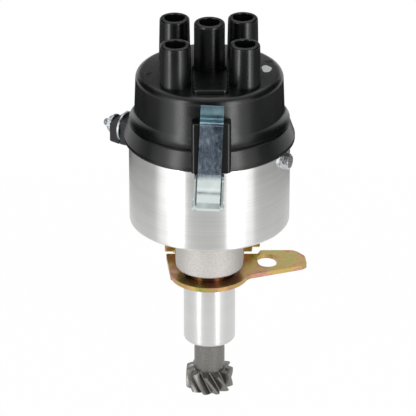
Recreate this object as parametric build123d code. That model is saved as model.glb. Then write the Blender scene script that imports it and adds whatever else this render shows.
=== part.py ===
from build123d import *
import os
from math import atan2, cos, degrees, hypot, radians, sin, sqrt, tan

# Ignition distributor for a four cylinder engine, driven from below by a helical gear.
# Millimetres. Z is up along the drive shaft. The origin is on the pilot's axis, in the plane of
# the clamp's underside, where the distributor sits on the engine. The front is towards -Y.

# Running and seating clearances, the overlap that joins shapes of one piece, and how far a
# screw stands past its thread
running_gap = 0.04
loose_gap = 0.1
seat_gap = 0.3
side_play = 0.05
merge = 0.5
screw_proud = 0.6

# Hexagon heads and nuts: radius of the flat top as a share of the width, and the bevel's angle
hex_crown_share = 0.475
hex_crown_deg = 30.0

# Housing: cup, neck and pilot turned from one casting
cup_r = 43.0
cup_wall = 3.0
cup_floor = 4.0
cup_bottom_z = 35.0
cup_rim_z = 82.7
cup_edge_round = 1.5
ledge_z = 68.0
ledge_width = 1.1
neck_r = 18.3
neck_bottom_z = 6.5
neck_round = 1.2
pilot_r = 14.0
pilot_bottom_z = -37.6
pilot_end_round = 1.6
clamp_seat_step = 0.25

# Drive shaft and its bushes
shaft_r = 6.25
shaft_top_r = 4.8
shaft_step_z = 51.5
shaft_top_z = 86.6
shaft_end_chamfer = 0.6
bush_wall = 1.75
bush_length = 19.8
oil_space = 1.0
thrust_washer_t = 1.1
lower_washer_r = 10.0
upper_washer_r = 11.0

# Helical drive gear, its hub and the pin through both
gear_teeth = 11
gear_tip_r = 12.8
gear_root_r = 8.95
gear_face = 12.7
gear_helix_deg = 31.0
gear_tip_half_deg = 3.6
gear_pitch_half_deg = 8.2
gear_root_half_deg = 12.2
gear_tip_round = 0.55
gear_flank_bow = 0.2
hub_r = 8.3
hub_length = 17.1
pin_r = 1.6
pin_bore_r = 0.9
pin_slit = 0.5
pin_drop = 4.4
pin_inset = 0.5

# Centrifugal advance: base plate, two weights, cam plate and springs
plate_hub_r = 9.5
plate_hub_height = 3.9
weight_plate_r = 31.0
weight_plate_t = 2.0
plate_hole_r = 5.0
plate_hole_reach = 20.0
pivot_reach = 22.0
pivot_r = 2.0
weight_t = 5.0
weight_inner_r = 17.5
weight_outer_r = 30.5
weight_start_deg = 8.0
weight_end_deg = 150.0
weight_hub_r = 5.0
toggle_reach = 12.0
toggle_r = 1.5
toggle_arm_r = 3.2
toggle_slot_gap = 0.15
weight_swing_deg = 15.0
cam_plate_r = 16.5
cam_plate_t = 1.8
clip_t = 0.6
clip_gap = 0.1
weight_clip_r = 3.8
groove_depth = 0.4
spring_post_r = 1.4
base_post_reach = 29.5
base_post_deg = 158.0
cam_post_reach = 13.4
cam_post_deg = 203.0
spring_coil_r = 1.6
spring_wire_r = 0.3
spring_turns = 7
spring_height = 2.3

# Cam with four lobes
cam_sleeve_r = 7.9
cam_lobe_r = 10.4
cam_flat_r = 9.7
cam_bottom_z = 70.6
cam_top_z = 80.2
cam_corner_round = 0.8
rotor_neck_r = 7.4
rotor_neck_top_z = 90.2
neck_key_flat = 6.3
clip_pocket_r = 6.2
clip_pocket_depth = 5.8
cam_clip_r = 5.9
felt_thickness = 3.2

# Breaker plate and the points
breaker_plate_t = 1.6
breaker_plate_hole_r = 13.2
ear_width = 9.0
ear_t = 1.6
ear_top_z = 79.4
ear_round = 2.0
ear_boss_r = 3.4
ear_boss_length = 2.6
side_screw_z = 76.6
side_screw_angles = (-24.6, 120.0)
side_screw_r = 1.9
side_screw_seat = 0.5
side_screw_flange_r = 4.7
side_screw_flange_t = 1.3
side_screw_hex = 7.4
side_screw_head_t = 3.2
post_x = 22.0
post_y = 17.5
post_r = 2.0
post_foot_r = 4.0
post_foot_t = 1.4
post_top_gap = 1.3
arm_clip_r = 3.4
arm_clip_deg = 0.0
arm_hub_r = 4.2
arm_end_x = -20.6
arm_web_t = 0.8
arm_web_y = 15.5
arm_bottom_z = 73.0
arm_height = 5.0
arm_flange_depth = 3.2
arm_flange_end_x = -14.0
arm_flange_start_x = 16.0
block_width = 5.0
block_height = 6.0
block_gap = 0.15
block_tip_round = 0.4
contact_x = -18.0
contact_r = 2.2
contact_t = 1.0
contact_opening = 0.5
bracket_foot_t = 1.1
bracket_half_width = 4.4
bracket_foot_depth = 6.0
bracket_screw_r = 1.6
small_screw_head_t = 1.8
small_screw_head_r = 2.7
leaf_t = 0.4
leaf_height = 3.0
leaf_free_x = -6.0
leaf_rise = 0.3
leaf_bow_x = -17.0
leaf_bow_y = 22.6
leaf_pad_from = -6.5
leaf_pad_to = 2.6
leaf_bends = (6.0, 5.0, 2.5)

# Condenser, laid across the front of the breaker plate
condenser_r = 6.4
condenser_length = 22.0
condenser_y = 18.0 - cup_r
roll_depth = 1.4
roll_step = 0.6
strap_t = 0.8
strap_width = 8.0
strap_foot = 6.2
lead_r = 0.9
lead_straight = 9.0
lead_approach = 7.0
lead_turns = ((14.0 - cup_r, -17.5), (9.0 - cup_r, -5.0))
lead_bends = (7.0, 9.0, 12.0, 4.0)

# Primary terminal, out through the wall at the left and to the rear
terminal_deg = 149.0
terminal_z = 76.0
stud_r = 2.05
stud_start = cup_r - 9.4
stud_head_t = 1.6
stud_head_hex = 7.0
stud_end_r = 1.7
stud_tip = cup_r + 23.2
inner_bush_r = 5.0
wall_bush_r = 3.2
inner_block_width = 13.4
outer_block_width = 12.0
block_top_rise = 6.4
block_bottom_drop = 8.2
block_split = cup_r + 9.4
block_end = cup_r + 16.2
block_chamfer = 3.6
block_corner = 1.2
block_sink = 4.0
block_draft = 0.6
block_edge_round = 0.8
lead_washer_r = 8.2
lead_washer_t = 1.1
end_washer_r = 5.6
end_washer_t = 1.1
terminal_nut_hex = 8.0
terminal_nut_t = 2.3

# Cap
cap_yaw_deg = 1.2
cap_body_r = cup_r - 3.8
cap_draft_r = cup_r - 3.1
cap_flare_top_z = 99.4
cap_lip_r = cup_r - 0.3
cap_lip_z = 94.2
cap_groove_r = cup_r - 1.2
cap_groove_z = 93.0
cap_band_top_r = cup_r - 0.2
cap_band_top_z = 92.2
cap_skirt_r = cup_r + 2.5
cap_skirt_z = 84.6
cap_overhang = 0.9
cap_skirt_round = 1.1
cap_top_edge_z = 120.9
cap_top_z = 122.2
cap_shoulder_round = 4.0
cap_wall = 3.6
cap_inner_draft = 0.6
cap_flare_bow = 0.35
cap_roof = 4.6
cap_inner_round = 3.0
spigot_depth = 1.4
spigot_t = 2.5
spigot_gap = 0.25
lug_half_width = 10.4
lug_front = cup_r + 2.3
lug_top_z = 110.0
lug_corner_round = 2.0
lug_top_round = 0.7
tower_pitch_r = cup_r - 17.37
tower_foot_r = 8.5
tower_head_r = 7.95
tower_top_z = 143.6
tower_bore_r = 5.5
tower_bore_floor_z = 126.0
tower_lip_round = 1.3
tower_mouth_round = 0.5
centre_tower_r = 8.15
centre_tower_top_z = 148.5
centre_collar_r = 8.8
centre_collar_z = 124.6
centre_bore_floor_z = 129.0
pad_half_width = 9.4
pad_front = cup_r - 11.5
pad_top_z = 123.0
pad_corner_round = 3.0
pad_edge_round = 0.7
electrode_boss_r = 5.6
electrode_boss_z = 103.5
electrode_end_z = 98.2
insert_r = 3.0
insert_drop = 0.4
brush_boss_r = 5.0
brush_boss_z = 109.0
brush_bore_top_z = 121.0

# Rotor, blade and carbon brush
rotor_gap = 0.05
rotor_bottom_z = 82.4
rotor_collar_r = 11.0
rotor_arm_z = 94.0
rotor_arm_t = 5.0
rotor_arm_width = 12.0
rotor_deg = 46.2
rotor_rim = 1.5
blade_overhang = 1.5
blade_corner = 1.2
blade_t = 1.0
blade_width = 7.0
spark_gap = 0.8
blade_spring_t = 0.4
blade_spring_foot = 9.0
blade_spring_rise = 5.9
blade_spring_inset = 1.0
blade_spring_seat = 2.4
blade_spring_bend_r = 1.0
brush_r = 2.2
brush_length = 6.4
brush_spring_r = 1.7
brush_wire_r = 0.3
brush_spring_turns = 6

# Spring clips, one at the front and the same at the rear
bracket_yaw_deg = -1.0
clip_lean_deg = 2.4
strip_width = 12.2
strip_t = 1.0
pin_reach = cup_r + 3.05
pin_z = 63.3
clip_pin_r = 1.6
clip_pin_gap = 0.05
eye_wrap_deg = 285.0
clip_strip_r = cup_r + 3.3
clip_bulge_r = cup_r + 6.4
clip_bulge_z = 73.0
clip_kink_z = 81.8
clip_hook_depth = 4.95
clip_tab_lean = 1.2
clip_tab_top_z = 119.2
clip_bend_r = 1.3
clip_eye_rise = 3.4
clip_low_bend_r = 5.0
clip_bulge_bend_r = 9.0
clip_kink_bend_r = 2.0
cheek_t = 1.0
cheek_gap = 0.65
cheek_low_z = 61.3
cheek_high_z = 81.2
cheek_front = cup_r + 5.3
cheek_round = 2.6
back_low_z = 67.0
rivet_heights = (72.6, 77.3)
rivet_r = 1.3
rivet_head_r = 2.1
rivet_head_t = 0.8
rivet_inner_head_r = 1.9
pin_head_r = 2.4
pin_head_t = 0.7

# Clamp round the pilot, with its pinch bolt behind
clamp_t = 2.5
clamp_gap = 0.08
clamp_ring_r = 21.3
clamp_split = 12.6
leg_end_y = 20.6
ear_inner_x = 16.4
ear_plate_t = 2.5
ear_back_y = 34.0
ear_front_y = 13.0
clamp_ear_top_z = 12.6
clamp_ear_round = 3.0
clamp_bolt_r = 3.0
clamp_bolt_y = 27.5
clamp_bolt_z = 6.5
clamp_bolt_hex = 11.0
clamp_bolt_head_t = 4.4
clamp_washer_r = 6.2
clamp_washer_t = 1.2
clamp_nut_t = 4.6
clamp_bolt_end_x = 27.7
bolt_hole_gap = 0.2
slot_width = 10.5
slot_length = 15.6
slot_x = 31.4
slot_y = 12.4
slot_tilt_deg = 97.0
clamp_edge = 0.35
clamp_foot_corners = ((-21.0, -6.0), (-22.4, 6.8, 6.0))
clamp_foot_end_x = -23.8
clamp_foot_end_round = 1.2
clamp_arm_corners = (
    (21.4, -5.1, 6.0),
    (50.6, 6.0, 2.6),
    (53.0, 8.6, 2.0),
    (52.2, 18.0, 6.0),
    (46.6, 25.1, 6.0),
    (27.8, 25.0, 1.5),
)
clamp_arm_start_deg = -45.0
clamp_arm_back_x = 26.6
clamp_arm_back_round = 1.5

# Places worked out from the sizes above
BASE = (Align.CENTER, Align.CENTER, Align.MIN)
cup_inner_r = cup_r - cup_wall
cup_lower_r = cup_inner_r - ledge_width
floor_z = cup_bottom_z + cup_floor
bush_r = shaft_r + bush_wall
gear_hub_top_z = pilot_bottom_z - thrust_washer_t - 2 * side_play
gear_top_z = gear_hub_top_z - hub_length
gear_bottom_z = gear_top_z - gear_face
gear_pitch_r = (gear_tip_r + gear_root_r) / 2 + gear_flank_bow
pin_height = gear_hub_top_z - pin_drop
plate_hub_z = floor_z + thrust_washer_t + 2 * side_play
weight_plate_z = plate_hub_z + plate_hub_height
weight_z = weight_plate_z + weight_plate_t + loose_gap
weight_top_z = weight_z + weight_t
cam_plate_z = shaft_step_z + loose_gap
spring_z = cam_plate_z + cam_plate_t + spring_height
breaker_z = ledge_z + breaker_plate_t
arm_z = arm_bottom_z + arm_height / 2
arm_hub_top_z = arm_bottom_z + block_height
condenser_z = breaker_z + seat_gap + condenser_r
neck_pocket_z = rotor_neck_top_z - clip_pocket_depth
ear_face_r = sqrt((cup_inner_r - seat_gap) ** 2 - (ear_width / 2) ** 2) - loose_gap
cap_bottom_z = cup_rim_z - cap_overhang
cap_inner_r = cap_draft_r - cap_wall
cap_inner_top_z = cap_top_edge_z - cap_roof
electrode_r = tower_pitch_r
blade_tip_r = electrode_r - insert_r - spark_gap
blade_z = rotor_arm_z + rotor_arm_t
brush_bottom_z = blade_z + blade_t + blade_spring_rise + blade_spring_t + loose_gap
clamp_bore_r = pilot_r - clamp_seat_step + clamp_gap
hook_z = lug_top_z + seat_gap + strip_t / 2


def rod(radius, low, high):
    """Upright round bar between two heights."""
    return Pos(0, 0, low) * Cylinder(radius, high - low, align=BASE)


def ring(outer, inner, low, high):
    """Upright ring between two heights."""
    return rod(outer, low, high) - rod(inner, low, high)


def hex_bar(across_flats, low, high):
    """Upright hexagonal bar between two heights, with its corners turned off at the top."""
    flats = RegularPolygon(across_flats / 2, 6, major_radius=False)
    bar = Pos(0, 0, low) * extrude(flats, high - low)
    top_r = hex_crown_share * across_flats
    crown = Cone(top_r + (high - low) / tan(radians(hex_crown_deg)), top_r, high - low, align=BASE)
    return bar & Pos(0, 0, low) * crown


def outline(*corners):
    """Closed flat face through corners given as (x, y) or (x, y, rounding radius)."""
    points = [corner[:2] for corner in corners]
    radii = [corner[2] if len(corner) > 2 else 0 for corner in corners]
    return make_face(FilletPolyline(*points, radius=radii, close=True))


def turned(*corners):
    """Solid turned about Z from (radius, height) or (radius, height, rounding radius) corners."""
    return revolve(Plane.XZ * outline(*corners), Axis.Z)


def facing(azimuth, height):
    """Frame on the axis whose Z points outwards at an azimuth, whose X is level and whose Y is up."""
    out = Vector(cos(radians(azimuth)), sin(radians(azimuth)), 0)
    return Plane(origin=(0, 0, height), x_dir=(-out.Y, out.X, 0), z_dir=out)


def polar(radius, azimuth):
    """Point at a radius and azimuth."""
    return radius * cos(radians(azimuth)), radius * sin(radians(azimuth))


def ribbon(path, thickness, width, across):
    """Strip of sheet that follows a path, with its width along the direction across."""
    section = Plane(origin=path @ 0, x_dir=across, z_dir=path % 0) * Rectangle(width, thickness)
    return sweep(section, path=path)


def wire(path, radius):
    """Round wire that follows a path."""
    return sweep(Plane(origin=path @ 0, z_dir=path % 0) * Circle(radius), path=path)


def coil(radius, wire_r, turns, length):
    """Helical spring along Z from the origin up."""
    height = length - 2 * wire_r
    return Pos(0, 0, wire_r) * wire(Helix(height / turns, height, radius), wire_r)


def retaining_clip(outer, inner, low, mouth_deg):
    """Open ring that snaps into a groove, with its mouth at an azimuth."""
    clip = ring(outer, inner, low, low + clip_t)
    mouth = Pos(outer, 0, low) * Box(2 * outer, 1.5 * inner, clip_t, align=BASE)
    return clip - Rot(0, 0, mouth_deg) * mouth


def make_housing():
    """Cup, neck and pilot in one, bored for the bushes and drilled for what its wall carries."""
    seat_r = pilot_r - clamp_seat_step
    bore_r = bush_r + oil_space
    low_bush_z = pilot_bottom_z + bush_length
    body = turned(
        (bush_r, pilot_bottom_z),
        (pilot_r, pilot_bottom_z, pilot_end_round),
        (pilot_r, 0),
        (seat_r, 0),
        (seat_r, neck_bottom_z),
        (neck_r, neck_bottom_z, neck_round),
        (neck_r, cup_bottom_z, neck_round),
        (cup_r, cup_bottom_z, cup_edge_round),
        (cup_r, cup_rim_z),
        (cup_inner_r, cup_rim_z),
        (cup_inner_r, ledge_z),
        (cup_lower_r, ledge_z),
        (cup_lower_r, floor_z, neck_round),
        (bush_r, floor_z),
        (bush_r, floor_z - bush_length),
        (bore_r, floor_z - bush_length),
        (bore_r, low_bush_z),
        (bush_r, low_bush_z),
    )
    start = cup_inner_r - cup_wall
    for azimuth in side_screw_angles:
        hole = Pos(0, 0, start) * Cylinder(side_screw_r + loose_gap, 3 * cup_wall, align=BASE)
        seat = Pos(0, 0, cup_r - side_screw_seat) * Cylinder(
            side_screw_flange_r + loose_gap, cup_wall, align=BASE
        )
        body -= facing(azimuth, side_screw_z) * (hole + seat)
    bore = Pos(0, 0, start) * Cylinder(wall_bush_r, 3 * cup_wall, align=BASE)
    body -= facing(terminal_deg, terminal_z) * bore
    for shape in both_sides(rivet_bores()):
        body -= shape
    return body


def rivet_bores():
    """Holes for the front clip bracket's rivets."""
    bores = Part()
    for height in rivet_heights:
        bore = Pos(0, 0, cup_inner_r - cup_wall) * Cylinder(rivet_r, 4 * cup_wall, align=BASE)
        bores += facing(-90, height) * bore
    return Rot(0, 0, bracket_yaw_deg) * bores


def both_sides(shape):
    """The front shape and its copy half a turn round, at the rear."""
    return [shape, Rot(0, 0, 180) * shape]


def make_bushes():
    """Plain bearing bushes at the two ends of the bore."""
    inner = shaft_r + running_gap
    upper = ring(bush_r, inner, floor_z - bush_length, floor_z)
    lower = ring(bush_r, inner, pilot_bottom_z, pilot_bottom_z + bush_length)
    return upper, lower


def make_thrust_washers():
    """Steel washers that take the end thrust above the floor and below the pilot."""
    inner = shaft_r + loose_gap
    low = pilot_bottom_z - side_play - thrust_washer_t
    lower = ring(lower_washer_r, inner, low, low + thrust_washer_t)
    upper = ring(upper_washer_r, inner, floor_z + side_play, floor_z + side_play + thrust_washer_t)
    return Compound(children=[lower, upper])


def make_drive_shaft():
    """Stepped shaft, grooved for the clip that holds the cam and cross drilled for the gear's pin."""
    shaft = rod(shaft_r, gear_bottom_z + shaft_end_chamfer, shaft_step_z)
    shaft = chamfer(shaft.edges().sort_by(Axis.Z)[0], shaft_end_chamfer)
    upper = rod(shaft_top_r, shaft_step_z, shaft_top_z)
    upper = chamfer(upper.edges().sort_by(Axis.Z)[-1], shaft_end_chamfer)
    groove_z = neck_pocket_z + side_play
    groove = ring(
        shaft_top_r + groove_depth,
        shaft_top_r - groove_depth,
        groove_z,
        groove_z + clip_t + clip_gap,
    )
    return shaft + upper - groove - cross_hole()


def cross_hole():
    """Hole for the gear's pin, along X."""
    return Pos(0, 0, pin_height) * Rot(0, 90, 0) * Cylinder(pin_r, 4 * hub_r)


def tooth_outline():
    """Cross section of the toothed ring: each tooth has two bowed flanks and a rounded tip."""
    pitch = 360 / gear_teeth
    lines = []
    for tooth in range(gear_teeth):
        centre = tooth * pitch
        left = [
            polar(gear_root_r, centre - gear_root_half_deg),
            polar(gear_pitch_r, centre - gear_pitch_half_deg),
            polar(gear_tip_r, centre - gear_tip_half_deg),
        ]
        right = [
            polar(gear_tip_r, centre + gear_tip_half_deg),
            polar(gear_pitch_r, centre + gear_pitch_half_deg),
            polar(gear_root_r, centre + gear_root_half_deg),
        ]
        crown = polar(gear_tip_r + gear_tip_round / 4, centre)
        valley = polar(gear_root_r - gear_tip_round / 2, centre + pitch / 2)
        following = polar(gear_root_r, centre + pitch - gear_root_half_deg)
        lines += [
            ThreePointArc(*left),
            ThreePointArc(left[2], crown, right[0]),
            ThreePointArc(*right),
            ThreePointArc(right[2], valley, following),
        ]
    return make_face(lines)


def make_drive_gear():
    """Helical gear and hub in one, bored for the shaft and cross drilled for its pin."""
    twist = -degrees(gear_face * tan(radians(gear_helix_deg)) / gear_pitch_r)
    section = tooth_outline().face()
    teeth = Solid.extrude_linear_with_rotation(section, (0, 0, 0), (0, 0, gear_face), twist)
    teeth = Pos(0, 0, gear_bottom_z) * teeth
    limits = turned(
        (0, gear_bottom_z),
        (gear_root_r, gear_bottom_z),
        (gear_tip_r + gear_tip_round, gear_bottom_z + (gear_tip_r - gear_root_r) / 3),
        (gear_tip_r + gear_tip_round, gear_top_z - (gear_tip_r - gear_root_r) / 3),
        (gear_root_r, gear_top_z),
        (gear_root_r, gear_hub_top_z),
        (0, gear_hub_top_z),
    )
    gear = (rod(hub_r, gear_top_z, gear_hub_top_z) + teeth) & limits
    return gear - rod(shaft_r, gear_bottom_z, gear_hub_top_z) - cross_hole()


def make_gear_roll_pin():
    """Rolled spring pin, open along one side, a little short of the hub's surface."""
    half = hub_r - pin_inset
    tube = Cylinder(pin_r, 2 * half) - Cylinder(pin_bore_r, 2 * half)
    slit = Pos(pin_r, 0, 0) * Box(2 * pin_r, pin_slit, 2 * half)
    return Pos(0, 0, pin_height) * Rot(0, 90, 0) * (tube - slit)


def make_weight_plate():
    """Base plate of the advance on its hub, with spring posts and two lightening holes."""
    plate = rod(weight_plate_r, weight_plate_z, weight_plate_z + weight_plate_t)
    plate += rod(plate_hub_r, plate_hub_z, weight_plate_z)
    plate -= rod(shaft_r, plate_hub_z, weight_plate_z + weight_plate_t)
    plate_top = weight_plate_z + weight_plate_t
    for turn in (0, 180):
        hole = Pos(0, plate_hole_reach, 0) * rod(plate_hole_r, weight_plate_z, plate_top)
        pivot = Pos(pivot_reach, 0, 0) * rod(pivot_r, weight_plate_z, plate_top)
        plate -= Rot(0, 0, turn) * (hole + pivot)
        x, y = polar(base_post_reach, base_post_deg + turn)
        plate += Pos(x, y, 0) * rod(spring_post_r, weight_plate_z, spring_z + spring_coil_r)
    return plate


def make_weight_pivot_pins():
    """Two pins that the weights swing on, grooved for their clips."""
    groove_z = weight_top_z + side_play
    top = groove_z + clip_t + clip_gap + groove_depth
    pin = rod(pivot_r, weight_plate_z, top)
    pin -= ring(pivot_r, pivot_r - groove_depth, groove_z, groove_z + clip_t + clip_gap)
    return Compound(children=[Pos(x, 0, 0) * pin for x in (pivot_reach, -pivot_reach)])


def make_weight_clips():
    """Open clips in the grooves of the weight pins."""
    low = weight_top_z + side_play + clip_gap / 2
    clip = retaining_clip(weight_clip_r, pivot_r - groove_depth, low, 0)
    return Compound(children=[Rot(0, 0, turn) * Pos(pivot_reach, 0, 0) * clip for turn in (0, 180)])


def make_weight():
    """Crescent weight on its pivot, with the toggle stud that turns the cam plate."""
    start = polar(weight_inner_r, weight_start_deg)
    middle_deg = (weight_start_deg + weight_end_deg) / 2
    crescent = make_face(
        [
            ThreePointArc(
                start,
                polar(weight_inner_r, middle_deg),
                polar(weight_inner_r, weight_end_deg),
            ),
            Line(polar(weight_inner_r, weight_end_deg), polar(weight_outer_r, weight_end_deg)),
            ThreePointArc(
                polar(weight_outer_r, weight_end_deg),
                polar(weight_outer_r, middle_deg),
                polar(weight_outer_r, weight_start_deg),
            ),
            Line(polar(weight_outer_r, weight_start_deg), start),
        ]
    )
    hub = Pos(pivot_reach, 0) * Circle(weight_hub_r)
    toggle = Pos(toggle_reach, 0) * Circle(toggle_arm_r)
    arm = make_hull((hub + toggle).edges())
    body = Pos(0, 0, weight_z) * extrude(crescent + hub + arm, weight_t)
    body -= Pos(pivot_reach, 0, 0) * rod(pivot_r + running_gap, weight_z, weight_top_z)
    return body + Pos(toggle_reach, 0, 0) * rod(toggle_r, weight_top_z, cam_plate_z + cam_plate_t + seat_gap)


def make_cam_plate():
    """Plate under the cam, slotted for the toggle studs, with two spring posts."""
    top = cam_plate_z + cam_plate_t
    plate = ring(cam_plate_r, cam_sleeve_r, cam_plate_z, top)
    swung = hypot(
        pivot_reach - (pivot_reach - toggle_reach) * cos(radians(weight_swing_deg)),
        (pivot_reach - toggle_reach) * sin(radians(weight_swing_deg)),
    )
    half = toggle_r + toggle_slot_gap
    slot_from = toggle_reach - half
    slot_to = swung + half
    slot = Pos((slot_from + slot_to) / 2, 0, 0) * SlotOverall(slot_to - slot_from, 2 * half)
    for turn in (0, 180):
        plate -= Rot(0, 0, turn) * Pos(0, 0, cam_plate_z) * extrude(slot, cam_plate_t)
        x, y = polar(cam_post_reach, cam_post_deg + turn)
        plate += Pos(x, y, 0) * rod(spring_post_r, top, spring_z + spring_coil_r)
    return plate


def make_advance_springs():
    """Two coil springs, each between a post of the base plate and one of the cam plate."""
    near = Vector(*polar(base_post_reach, base_post_deg))
    far = Vector(*polar(cam_post_reach, cam_post_deg))
    gap = spring_post_r + seat_gap
    length = (far - near).length - 2 * gap
    along = (far - near).normalized()
    start = near + along * gap
    place = Plane(origin=(start.X, start.Y, spring_z), z_dir=(along.X, along.Y, 0))
    spring = place * coil(spring_coil_r, spring_wire_r, spring_turns, length)
    return Compound(children=both_sides(spring))


def make_breaker_cam():
    """Sleeve on the shaft with four lobes and a keyed neck for the rotor."""
    lobes = Rectangle(2 * cam_flat_r, 2 * cam_flat_r) & Circle(cam_lobe_r)
    lobes = fillet(lobes.vertices(), cam_corner_round)
    cam = rod(cam_sleeve_r, cam_plate_z, cam_bottom_z)
    cam += Pos(0, 0, cam_bottom_z) * extrude(lobes, cam_top_z - cam_bottom_z)
    cam += rod(rotor_neck_r, cam_top_z, rotor_neck_top_z)
    flat = Pos(neck_key_flat, 0, cam_top_z) * Box(
        rotor_neck_r,
        3 * rotor_neck_r,
        rotor_neck_top_z - cam_top_z,
        align=(Align.MIN, Align.CENTER, Align.MIN),
    )
    cam -= flat
    cam -= rod(shaft_top_r + running_gap, cam_plate_z, neck_pocket_z)
    return cam - rod(clip_pocket_r - loose_gap, neck_pocket_z, rotor_neck_top_z)


def make_cam_retaining_clip():
    """Open clip in the shaft's top groove, which keeps the cam down."""
    low = neck_pocket_z + side_play + clip_gap / 2
    return retaining_clip(cam_clip_r, shaft_top_r - groove_depth, low, 90)


def make_cam_felt():
    """Oil felt pressed into the cam's neck above the shaft."""
    top = rotor_neck_top_z
    return rod(clip_pocket_r - loose_gap, top - felt_thickness, top)


def make_breaker_plate():
    """Plate on the cup's ledge with two upturned ears, each with a tapped boss."""
    plate = ring(cup_inner_r - seat_gap, breaker_plate_hole_r, ledge_z, breaker_z)
    for azimuth in side_screw_angles:
        ear_height = ear_top_z - ledge_z
        middle = (ear_top_z + ledge_z) / 2 - side_screw_z
        face = Pos(0, middle) * RectangleRounded(ear_width, ear_height, ear_round)
        face += Pos(0, middle - ear_height / 4) * Rectangle(ear_width, ear_height / 2)
        ear = Pos(0, 0, ear_face_r - ear_t) * extrude(face, ear_t)
        ear += Pos(0, 0, ear_face_r - ear_t - ear_boss_length) * Cylinder(
            ear_boss_r, ear_boss_length, align=BASE
        )
        hole = Pos(0, 0, ear_face_r - 3 * ear_boss_length) * Cylinder(
            side_screw_r + running_gap, 4 * ear_boss_length, align=BASE
        )
        plate += facing(azimuth, side_screw_z) * ear
        plate -= facing(azimuth, side_screw_z) * hole
    holes = [
        (post_x, post_y, post_r),
        (0, strap_screw_y(), bracket_screw_r),
        (contact_x, contact_screw_y(), bracket_screw_r),
    ]
    for x, y, radius in holes:
        plate -= Pos(x, y, 0) * rod(radius, ledge_z, breaker_z)
    return plate


def contact_screw_y():
    """Place of the fixed contact bracket's screw, just behind its upright."""
    return bracket_face_y() - bracket_foot_t - small_screw_head_r - seat_gap


def bracket_face_y():
    """Front of the fixed contact bracket's upright, which carries the contact."""
    return arm_web_y - 2 * contact_t - contact_opening


def make_side_screws():
    """Flanged hexagon screws through the cup's wall into the ears."""
    seat = cup_r - side_screw_seat
    screws = []
    for azimuth in side_screw_angles:
        start = ear_face_r - ear_t - ear_boss_length - screw_proud
        screw = rod(side_screw_r, start, seat)
        screw += rod(side_screw_flange_r, seat, seat + side_screw_flange_t)
        head_from = seat + side_screw_flange_t
        screw += hex_bar(side_screw_hex, head_from, head_from + side_screw_head_t)
        screws.append(facing(azimuth, side_screw_z) * screw)
    return Compound(children=screws)


def make_contact_bracket():
    """Bent bracket that carries the fixed contact."""
    face_y = bracket_face_y()
    foot = Pos(contact_x, face_y, breaker_z) * Box(
        2 * bracket_half_width,
        bracket_foot_depth + bracket_foot_t,
        bracket_foot_t,
        align=(Align.CENTER, Align.MAX, Align.MIN),
    )
    upright = Pos(contact_x, face_y, breaker_z) * Box(
        2 * bracket_half_width,
        bracket_foot_t,
        arm_bottom_z + arm_height - breaker_z,
        align=(Align.CENTER, Align.MAX, Align.MIN),
    )
    foot_top = breaker_z + bracket_foot_t
    return foot + upright - Pos(contact_x, contact_screw_y(), 0) * rod(bracket_screw_r, breaker_z, foot_top)


def pan_screw(x, y, seat_z, reach):
    """Small screw with a slotted cheese head, its shank reach long below the seat."""
    screw = rod(bracket_screw_r, seat_z - reach, seat_z)
    head = rod(small_screw_head_r, seat_z, seat_z + small_screw_head_t)
    slot = Pos(0, 0, seat_z + small_screw_head_t / 2) * Box(
        2 * small_screw_head_r, small_screw_head_t / 2, small_screw_head_t / 2, align=BASE
    )
    return Pos(x, y, 0) * (screw + head - slot)


def make_plate_screws():
    """Screws of the fixed contact bracket and of the condenser's strap."""
    reach = breaker_plate_t + screw_proud
    contact = pan_screw(contact_x, contact_screw_y(), breaker_z + bracket_foot_t, reach + bracket_foot_t)
    strap = pan_screw(0, strap_screw_y(), breaker_z + strap_t, reach + strap_t)
    return Compound(children=[contact, strap])


def contact_disc(face_y):
    """Contact disc whose front starts at face_y and faces the other contact."""
    return Pos(contact_x, face_y, arm_z) * Rot(-90, 0, 0) * Cylinder(contact_r, contact_t, align=BASE)


def make_pivot_post():
    """Post that the breaker arm swings on, with a foot on the plate."""
    top = arm_hub_top_z + post_top_gap
    post = rod(post_r, ledge_z, top) + rod(post_foot_r, breaker_z, breaker_z + post_foot_t)
    post = chamfer(post.edges().sort_by(Axis.Z)[-1], post_r / 5)
    groove_z = arm_hub_top_z + side_play
    post -= ring(post_r, post_r - groove_depth, groove_z, groove_z + clip_t + clip_gap)
    return Pos(post_x, post_y, 0) * post


def make_arm_clip():
    """Open clip in the groove of the breaker arm's post."""
    low = arm_hub_top_z + side_play + clip_gap / 2
    return Pos(post_x, post_y, 0) * retaining_clip(arm_clip_r, post_r - groove_depth, low, arm_clip_deg)


def make_breaker_arm():
    """Pressed channel arm on its pivot hub."""
    web = Box(
        post_x - arm_end_x, arm_web_t, arm_height, align=(Align.MIN, Align.MIN, Align.MIN)
    )
    arm = Pos(arm_end_x, arm_web_y, arm_bottom_z) * web
    side = outline(
        (arm_flange_end_x, arm_web_y),
        (arm_flange_start_x, arm_web_y),
        (arm_flange_start_x, arm_web_y + arm_flange_depth),
        (0, arm_web_y + arm_flange_depth),
    )
    for low in (arm_bottom_z, arm_bottom_z + arm_height - arm_web_t):
        arm += Pos(0, 0, low) * extrude(side, arm_web_t)
    hub_low = breaker_z + post_foot_t + loose_gap
    hub = Pos(post_x, post_y, 0) * rod(arm_hub_r, hub_low, arm_hub_top_z)
    bore = Pos(post_x, post_y, 0) * rod(post_r + running_gap, hub_low, arm_hub_top_z)
    return arm + hub - bore


def make_rubbing_block():
    """Fibre block between the arm and the cam, its tip just clear of a lobe."""
    tip = cam_lobe_r + block_gap
    face = outline(
        (-block_width / 2, arm_web_y),
        (-block_width / 4, tip, block_tip_round),
        (block_width / 4, tip, block_tip_round),
        (block_width / 2, arm_web_y),
    )
    return Pos(0, 0, arm_z - block_height / 2) * extrude(face, block_height)


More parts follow.
